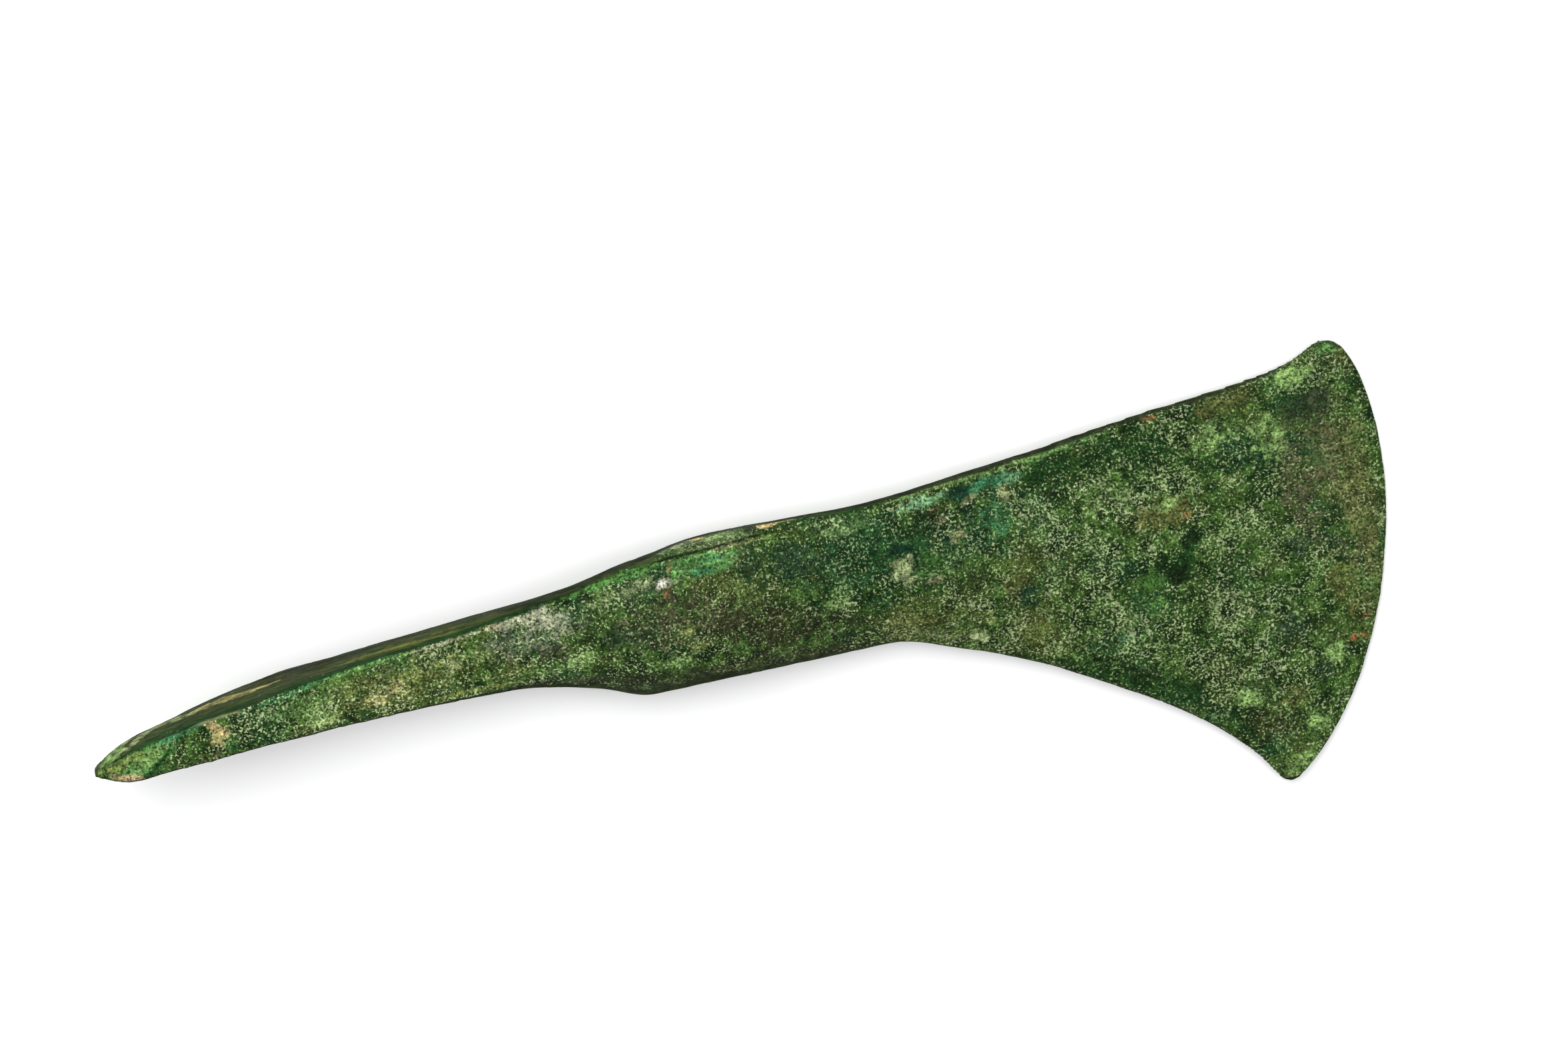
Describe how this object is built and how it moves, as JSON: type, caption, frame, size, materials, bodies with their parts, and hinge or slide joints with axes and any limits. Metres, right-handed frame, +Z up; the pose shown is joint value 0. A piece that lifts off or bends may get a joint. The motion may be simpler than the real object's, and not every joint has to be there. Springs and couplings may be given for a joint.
{
  "type": "bronze axe head",
  "caption": "Bronze Age axe head in green patina: narrow tang, swelling shoulder, slim waist and a flared blade with a crescent cutting edge.",
  "frame": {"origin": "middle of the footprint's box, on the surface that the axe head lies on", "axes": "+X along the haft axis from the butt to the cutting edge, +Y across the blade towards the short horn, +Z up through the thickness"},
  "size_m": [0.1756, 0.0594, 0.0138],
  "materials": {
    "bronze_patina": "matte"
  },
  "bodies": {
    "root": {"axe_head": "bronze_patina"}
  },
  "joints": []
}
